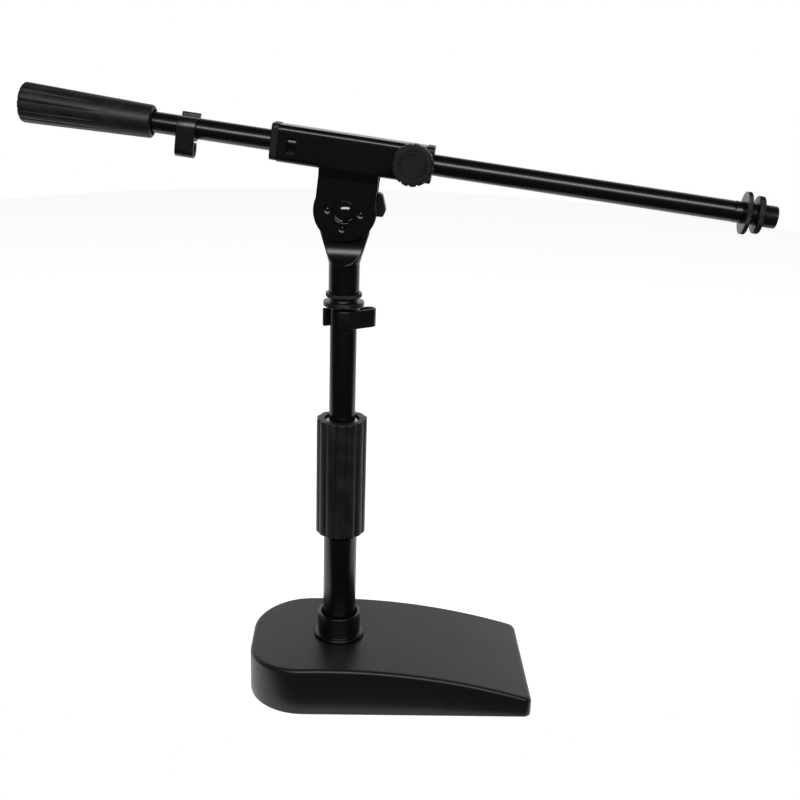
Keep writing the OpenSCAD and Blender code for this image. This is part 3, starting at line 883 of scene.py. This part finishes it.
lever_loops += [(face + (hub_ring - face) * t, lever_front) for t in (0.5, 1.0)]
for radius, y in ((7.0, lever_front - 0.5), (6.2, lever_front - 0.5), (6.2, lever_back)):
    lever_loops.append((circle_at(lever_angle, radius), y))


def lever_loop(loop, y):
    """One ring of the lever at y, with the paddle's part of it kept clear of the sleeve's wall."""
    on_paddle = np.hypot(*loop.T) > hub_radius + 0.8
    return np.column_stack([loop[:, 0], np.where(on_paddle, max(y, paddle_back), y), loop[:, 1]])


lever_grid = np.array([lever_loop(loop, y) for loop, y in lever_loops])
lever = piece("tilt_lever_moulded", skin(on_boom(lever_grid)))
paint(lever, moulded_plastic)
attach(lever, "lever")
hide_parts("tilt_lever")


# ---- boom lock knob -----------------------------------------------------------------------------
# A moulded hand knob with saw-tooth notches round its rim and a ring round a dished centre. The
# badge in the dish is a plain pattern of ribs. Its screw presses a brass shoe against the boom.

knob_x, knob_radius, knob_back, knob_thick = 44.6, 14.6, 13.2, 11.0
notches, notch_depth = 15, 1.05
knob_turns = notches * 26


def notch(angle, radius, height):
    """Saw-tooth notches: a steep side, then a long slope back up, only on the outer rim."""
    part = (angle * notches / (2 * math.pi)) % 1
    bite = np.clip(1 - np.abs(part - 0.1) / 0.1, 0, 1) + 0.35 * np.clip((0.5 - part) / 0.4, 0, 1)
    return notch_depth * np.clip(bite, 0, 1) * np.clip((radius - 11.2) / 2.2, 0, 1)


knob_corners = [
    (0, 0),
    (13.2, 0),
    (knob_radius, 1.2),
    (knob_radius, knob_thick - 1.2),
    (13.3, knob_thick - 0.25),
    (10.0, knob_thick - 0.25),
    (9.7, knob_thick - 0.65),
    (9.3, knob_thick - 0.65),
    (9.0, knob_thick),
    (8.2, knob_thick),
    (8.2, knob_thick - 1.8),
    (0, knob_thick - 1.8),
]
knob_rounds = [0, 0.6, 0.6, 0.8, 0.5, 0.12, 0.12, 0.12, 0.2, 0.25, 0.1, 0]
knob_profile = fillet(knob_corners, knob_rounds, 5, closed=False)
knob_grid = turned(knob_profile, knob_turns, notch)
knob_grid = np.stack(
    [
        knob_x + knob_grid[..., 0],
        -knob_back - knob_grid[..., 2],
        boom_rise + knob_grid[..., 1],
    ],
    axis=-1,
)
knob = piece("lock_knob_moulded", skin(on_boom(knob_grid), round_v=False))
paint(knob, moulded_plastic)
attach(knob, "knob")
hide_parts("lock_knob")
paint(frame["nodes"]["knob_badge"], moulded_plastic)
paint(frame["nodes"]["knob_boss"], satin_enamel)
brass = Finish("turned_brass")
cloud = brass.grain(1.5, 3)
paint(
    frame["nodes"]["clamp_shoe"],
    brass.finish(
        Base_Color=brass.tint((0.46, 0.32, 0.12), (0.6, 0.44, 0.18), cloud),
        Metallic=1.0,
        Roughness=brass.between(0.3, 0.45, cloud),
    ),
)


# ---- boom tube and ferrule ----------------------------------------------------------------------
# The boom is drawn steel tube in satin enamel, weighted with a steel slug at the grip end. A turned
# ferrule is pressed into its other end, and shows as a seam a little before the thread.

tube_radius, tube_bore = 7.5, 6.3
boom_end, seam_x, flange_x = -232.6, 270.7, 277.7


def round_boom(grid):
    """A turned shape laid along the boom's axis."""
    return on_boom(np.stack([grid[..., 2], grid[..., 0], grid[..., 1] + boom_rise], axis=-1))


tube_profile = tube(tube_radius, tube_bore, boom_end, seam_x)
boom = piece("boom_tube_drawn", skin(round_boom(turned(tube_profile, 96))))
paint(boom, satin_enamel)
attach(boom, "boom")
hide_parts("boom_tube")

ferrule_profile = fillet(
    [(5.2, seam_x - 20), (6.28, seam_x - 20), (6.28, seam_x), (6.9, seam_x), (7.0, seam_x + 0.45)]
    + [(7.65, seam_x + 0.5), (7.65, flange_x), (5.2, flange_x)],
    [0.1, 0.1, 0.05, 0.05, 0.05, 0.2, 0.2, 0.1],
    4,
)
ferrule = piece("boom_ferrule_turned", skin(round_boom(turned(ferrule_profile, 80))))
paint(ferrule, satin_enamel)
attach(ferrule, "boom")
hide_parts("boom_ferrule")


# ---- boom tip: flange, stud and lock nut --------------------------------------------------------
# The tip is turned steel, black plated: a knurled flange, a 27-turns-per-inch microphone thread,
# and a diamond-knurled nut that locks whatever is screwed on.

tip_flange_end, tip_flange_radius, flange_bore = 280.9, 14.95, 7.7
thread_radius, thread_end, thread_pitch, thread_depth = 7.94, 301.0, 25.4 / 27, 0.5
nut_start, nut_end, nut_radius, nut_bore = 285.9, 290.4, 13.3, 7.75
flange_points, flange_lead, nut_points, nut_lead = 52, 3.2, 42, 1.9

flange_edges = [0.1, 0.45, 0.45, 0.1]
flange_profile = tube(tip_flange_radius, flange_bore, flange_x, tip_flange_end, flange_edges, 7)
rim_band = (flange_x + 0.2, tip_flange_end - 0.2)
rim_cut = knurl(flange_points, flange_lead, *rim_band, tip_flange_radius, 0.6)
flange_grid = turned(even(flange_profile, 90), flange_points * point_steps, rim_cut)
tip_flange = piece("tip_flange_knurled", skin(round_boom(flange_grid)), crease=50)
paint(tip_flange, black_plating)
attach(tip_flange, "boom")
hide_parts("tip_flange")


def stud_thread(angle, radius, height):
    """Depth of the microphone thread, one pitch a turn, fading out at the rounded end."""
    depth = thread_depth * (1 - ridge(height / thread_pitch - angle / (2 * math.pi)))
    return depth * (radius > thread_radius - 0.6) * np.clip((thread_end - height) / 0.8, 0, 1)


stud_start, stud_round = flange_x + 0.2, 1.1
shank_x = np.linspace(stud_start, thread_end - stud_round, 230)
shank = np.column_stack([np.full(230, thread_radius), shank_x])
tip_round = circle_at(turn, stud_round) + [thread_radius - stud_round, thread_end - stud_round]
stud_end = [[4, thread_end], [0, thread_end]]
stud_profile = np.vstack([[[0, stud_start]], shank, tip_round, stud_end])
stud_grid = turned(stud_profile, 64, stud_thread)
stud = piece("tip_stud_threaded", skin(round_boom(stud_grid), round_v=False), crease=180)
paint(stud, black_plating)
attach(stud, "boom")
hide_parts("tip_stud")

tip_nut_profile = tube(nut_radius, nut_bore, nut_start, nut_end, [0.5, 1.0, 1.0, 0.5], 7)
tip_cut = knurl(nut_points, nut_lead, nut_start + 0.4, nut_end - 0.4, nut_radius, 0.7)
nut_grid = turned(even(tip_nut_profile, 120), nut_points * point_steps, tip_cut)
tip_nut = piece("tip_lock_nut", skin(round_boom(nut_grid)), crease=60)
paint(tip_nut, black_plating)
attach(tip_nut, "tip_lock_nut")
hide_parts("tip_nut")


# ---- boom grip ----------------------------------------------------------------------------------
# A tapered rubber sleeve pushed over the weighted end. Its flutes start at the thick end and run
# out two thirds of the way along, and a shallow recess shows round the tube at the thin end.

grip_start, grip_stop = -238.6, -143.6
grip_thick, grip_thin = 14.3, 11.65
flutes, flute_depth, flute_end = 12, 1.15, -172.0
start_edge, stop_edge = 2.2, 2.4


def flute(angle, radius, height):
    """Flutes with one sharp side and one soft one, as deep as their level floor lies below the
    tapering outside, so that they fade to nothing."""
    part = (angle * flutes / (2 * math.pi) + 0.35) % 1
    groove = np.clip(1 - part / 0.06, 0, 1) + 0.75 * np.clip(1 - (1 - part) / 0.34, 0, 1) ** 1.6
    fade = np.clip((flute_end - height) / (flute_end - grip_start), 0, 1)
    outer = np.clip((radius - 10.5) / 1.5, 0, 1)
    return flute_depth * np.clip(groove, 0, 1) * fade * outer


outer_x = np.linspace(grip_start + 2.4, grip_stop - 2.6, 70)
outer_r = grip_thick + (grip_thin - grip_thick) * (outer_x - grip_start) / (grip_stop - grip_start)
start_round = circle_at(turn - math.pi / 2, start_edge)
start_round += [outer_r[0] - start_edge, grip_start + start_edge]
stop_round = circle_at(turn, stop_edge) + [outer_r[-1] - stop_edge, grip_stop - stop_edge]
grip_profile = np.vstack(
    [
        [[0, grip_start + 0.6], [10.6, grip_start + 0.4]],
        start_round,
        np.column_stack([outer_r, outer_x]),
        stop_round,
        [[9.0, grip_stop], [8.95, grip_stop - 2.4], [7.52, grip_stop - 2.5]],
        [[7.52, grip_start + 6.0], [0, grip_start + 6.0]],
    ]
)
grip_grid = round_boom(turned(grip_profile, flutes * 26, flute))
grip = piece("boom_grip_moulded", skin(grip_grid, round_v=False))
paint(grip, grip_rubber)
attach(grip, "boom")
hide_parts("boom_grip")


# ---- cable clips --------------------------------------------------------------------------------
# Two snap-on clips of one pattern, moulded in semi-gloss plastic: a sprung C round the tube, a
# front panel that turns up into a hook for the cable, and a finger tab with a lip.

clip_wall, clip_width, clip_gap, hook_lip = 1.7, 13.6, 6.8, 5.4
panel_drop, tab_rise, tab_reach = 8.1, 1.7, 1.6


def ribbon(path, thick, width, edge=0.42):
    """A strip of even thickness bent along a path: a rounded rectangle, across the path's normal
    and along the clip's width, is carried from end to end, and both ends close on their middle."""
    run = np.gradient(path, axis=0)
    run /= np.linalg.norm(run, axis=1, keepdims=True)
    normal = np.stack([run[:, 1], -run[:, 0]], axis=1)
    half, tall = thick / 2, width / 2
    corners = [(-half, -tall), (half, -tall), (half, tall), (-half, tall)]
    section = fillet(corners, edge, 4)
    across = path[:, None] + normal[:, None] * section[None, :, :1]
    along = np.broadcast_to(section[:, 1:], across.shape[:2] + (1,))
    grid = np.concatenate([across, along], axis=-1)
    shrink = 1 - edge / np.array([thick, thick, tall])

    def end(at, out):
        middle = np.append(path[at], 0)
        step = np.append(run[at] * out, 0)
        near = (grid[at] - middle) * shrink + middle + step * edge
        return np.stack([np.broadcast_to(middle + step * edge, near.shape), near])

    return skin(np.concatenate([end(0, -1), grid, end(-1, 1)[::-1]]), round_u=False)


def clip_skins(radius):
    """The two strips of a clip on a tube. The front runs down from the C's lip, leaves the tube as
    a straight panel and turns up into the hook; the back runs round the tube to the finger tab."""
    inner = radius + 0.06
    middle = inner + clip_wall / 2
    tab_x = math.cos(math.radians(50)) * inner + 0.3 + clip_wall / 2
    top = radius + tab_rise
    tab = [(tab_x, top - 2.6), (tab_x, top), (tab_x + tab_reach, top)]
    tab = fillet(tab, 0.8, 5, closed=False)
    back = np.vstack([circle_at(np.radians(np.linspace(196, 407, 56)), middle), tab])
    bend_radius = (clip_gap + clip_wall) / 2
    low = -(radius + panel_drop) - bend_radius
    hook = [(-middle, -0.5), (-middle, low), (2 * bend_radius - middle, low)]
    hook += [(2 * bend_radius - middle, low + bend_radius + hook_lip - 0.4)]
    hook = fillet(hook, [0, bend_radius * 0.999, bend_radius * 0.999, 0], 22, closed=False)
    front = np.vstack([circle_at(np.radians(np.linspace(131, 180, 18)), middle), hook])
    return [ribbon(back, clip_wall - 0.04, clip_width - 0.04), ribbon(front, clip_wall, clip_width)]


snap = Finish("clip_plastic")
cloud, speck = snap.grain(7, 3), snap.grain(0.5, 2)
clip_plastic = snap.finish(
    Base_Color=snap.tint((0.003, 0.003, 0.0032), (0.005, 0.005, 0.0053), cloud),
    Roughness=snap.between(0.26, 0.36, cloud),
    Normal=snap.relief(speck, 0.008),
)

hook_turn, mast_clip_z = math.radians(122), 303.8
hook_cos, hook_sin = math.cos(hook_turn), math.sin(hook_turn)
mast_turn = np.array([[hook_cos, hook_sin, 0], [-hook_sin, hook_cos, 0], [0, 0, 1]])
skins = [
    (points @ mast_turn + [0, 0, mast_clip_z], quads) for points, quads in clip_skins(upper_radius)
]
mast_clip = piece("mast_cable_clip_moulded", *skins)
paint(mast_clip, clip_plastic)
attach(mast_clip, "mast_cable_clip")
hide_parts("mast_clip")

boom_clip_x = -118.4
skins = [
    (on_boom(points[:, [2, 0, 1]] + [boom_clip_x, 0, boom_rise]), quads)
    for points, quads in clip_skins(tube_radius)
]
boom_clip = piece("boom_cable_clip_moulded", *skins)
paint(boom_clip, clip_plastic)
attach(boom_clip, "boom_cable_clip")
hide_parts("boom_clip")


# ---- studio -------------------------------------------------------------------------------------
# A pale round floor under a white surround that is dark on the camera's side, so that black enamel
# shows bright edges and a dark front, with one long soft light above the camera.

floor_angle = np.linspace(0, 2 * math.pi, 128, endpoint=False)
floor_radius, floor_front, floor_drop = 1500.0, -70.0, 0.05
floor_shares = (0, 0.2, 8 / 15, 1)
floor_rings = [raised(circle_at(floor_angle, floor_radius * t), -floor_drop) for t in floor_shares]
floor_centre = [0, floor_front + floor_radius, 0]
floor = piece("floor", skin(np.array(floor_rings) + floor_centre, round_u=False))
if floor.data.polygons[0].normal.z < 0:
    floor.data.flip_normals()
pale = Finish("floor_paper")
fibre = pale.grain(3, 4)
paint(
    floor,
    pale.finish(
        Base_Color=pale.tint((0.86, 0.86, 0.86), (0.9, 0.9, 0.9), fibre),
        Roughness=0.9,
        Emission_Color=(1, 1, 1, 1),
        Emission_Strength=0.72,
    ),
)

world = bpy.data.worlds.new("surround")
bpy.context.scene.world = world
world.use_nodes = True
surround = NodeTree(world.node_tree)
surround.tree.nodes.clear()
direction = surround.node("ShaderNodeTexCoord", {}, out="Generated")
split = surround.node("ShaderNodeSeparateXYZ", {0: direction}, out="Y")
rise = Value(surround, split.socket.node.outputs["Z"])
behind = surround.step(split, 0.05, 0.9)
overhead = surround.step(rise, 0.5, 0.85)
glow = 0.02 + 1.1 * behind * (1 - 0.9 * overhead)
lit = surround.node("ShaderNodeBackground", {"Strength": glow}, out="Background")
seen = surround.node("ShaderNodeBackground", {"Strength": 1.0}, out="Background")
for value in (lit, seen):
    value.socket.node.inputs["Color"].default_value = (1, 1, 1, 1)
eye = surround.node("ShaderNodeLightPath", {}, out="Is Camera Ray")
mixed = surround.node("ShaderNodeMixShader", {0: eye, 1: lit, 2: seen})
surround.feed(surround.tree.nodes.new("ShaderNodeOutputWorld"), {"Surface": mixed})


def soft_light(name, at, target, size, watts):
    """A rectangular area light that faces its target."""
    data = bpy.data.lights.new(name, "AREA")
    data.shape, data.size, data.size_y, data.energy = "RECTANGLE", size[0], size[1], watts
    made = bpy.data.objects.new(name, data)
    bpy.context.scene.collection.objects.link(made)
    at, target = np.array(at), np.array(target)
    back = (at - target) / np.linalg.norm(at - target)
    side_way = np.cross([0, 0, 1], back)
    side_way /= np.linalg.norm(side_way)
    turned_to = Matrix(np.column_stack([side_way, np.cross(back, side_way), back]).tolist())
    made.matrix_world = Matrix.Translation(at.tolist()) @ turned_to.to_4x4()
    return made


soft_light("key", (0.1, -1.55, 1.3), (0.02, 0, 0.35), (2.4, 0.5), 38)

lens = 51.0
eye_at = (0.01535, -0.81869, 0.51027)
eye_right = (0.99924, -0.02489, 0.02996)
eye_up = (-0.02065, 0.31380, 0.94926)
eye_forward = (0.03303, 0.94916, -0.31305)
camera_data = bpy.data.cameras.new("camera")
camera_data.lens, camera_data.sensor_width = lens, 36.0
camera = bpy.data.objects.new("camera", camera_data)
bpy.context.scene.collection.objects.link(camera)
axes = Matrix(np.column_stack([eye_right, eye_up, -np.array(eye_forward)]).tolist())
camera.matrix_world = Matrix.Translation(eye_at) @ axes.to_4x4()
bpy.context.scene.camera = camera
bpy.context.scene.view_settings.view_transform = "Standard"
